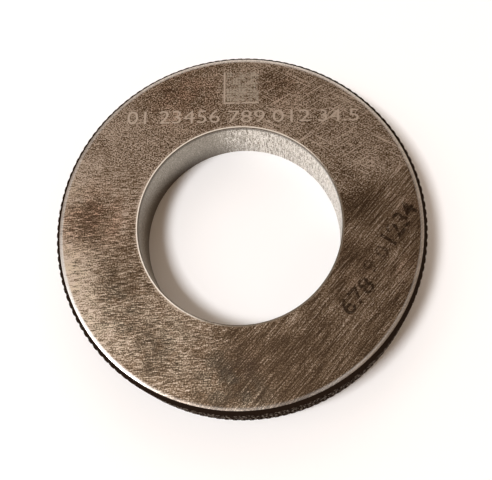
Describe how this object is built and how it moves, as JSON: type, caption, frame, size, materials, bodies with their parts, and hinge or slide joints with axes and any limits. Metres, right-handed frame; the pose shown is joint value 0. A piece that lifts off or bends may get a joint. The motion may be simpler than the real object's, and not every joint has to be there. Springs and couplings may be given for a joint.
{
  "type": "setting ring gauge",
  "caption": "Flat steel setting ring with a lapped cylindrical bore, ground end faces and a chamfered diamond-knurled rim, used to set and check bore gauges.",
  "frame": {"origin": "centre of the lower end face, on the bore axis", "axes": "+Z along the bore axis, from the face the ring rests on to the marked face; X and Y lie in the lower face"},
  "size_m": [0.08, 0.08, 0.014],
  "materials": {
    "gauge_steel": "hardened tool steel, ground end faces with an aged brown patina, lapped bore, blackened knurled rim"
  },
  "bodies": {
    "root": {"gauge_ring": "gauge_steel"}
  },
  "joints": []
}
